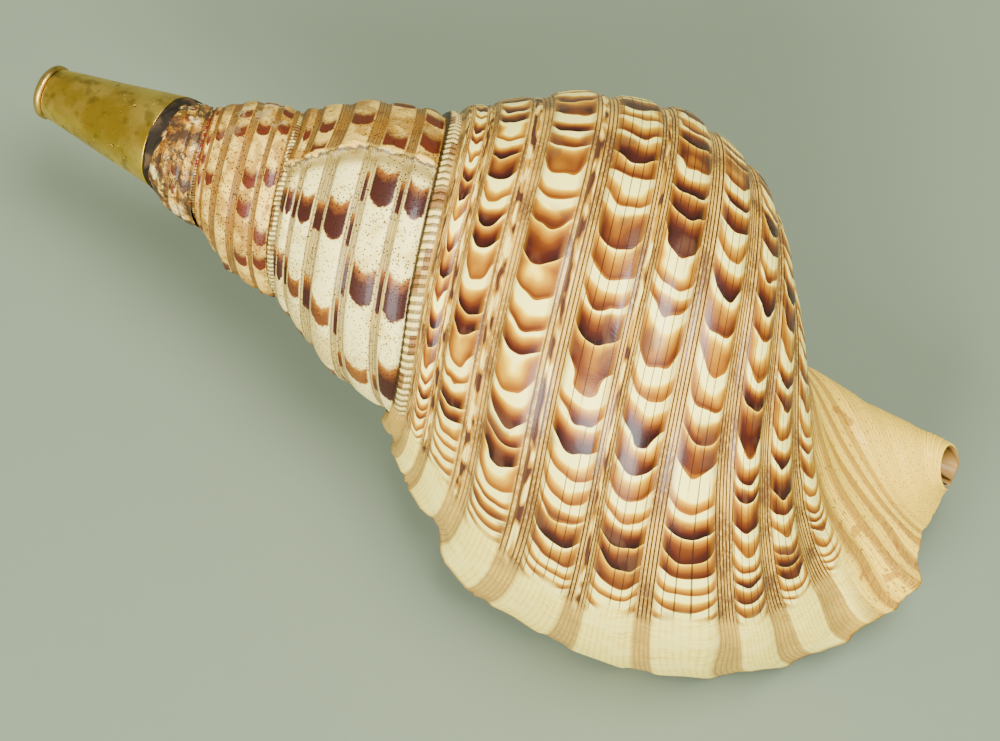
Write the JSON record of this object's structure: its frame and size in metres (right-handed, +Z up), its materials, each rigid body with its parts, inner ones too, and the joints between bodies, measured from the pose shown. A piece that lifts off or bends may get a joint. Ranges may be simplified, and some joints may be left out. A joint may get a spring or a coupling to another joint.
{
  "type": "triton trumpet shell",
  "caption": "Large spiral-ribbed sea snail shell with a wide flared mouth, its cut tip fitted with a conical brass mouthpiece for blowing.",
  "frame": {"origin": "centre of the bounding box in plan, at the surface that the shell lies on", "axes": "+X from the mouthpiece to the siphonal canal, +Z up, the flared lip of the mouth on the -Y side"},
  "size_m": [0.443, 0.2232, 0.1803],
  "materials": {
    "shell": "glossy cream enamel with orange-brown crescents on broad ribs and dark fine cords between them",
    "brass": "aged unpolished brass, pitted, worn brighter at the rim",
    "pitch": "dark hardened pitch, matt and uneven"
  },
  "bodies": {
    "root": {"shell": "shell", "mouthpiece_cone": "brass", "mouthpiece_rim": "brass", "pitch_seal": "pitch"}
  },
  "joints": []
}
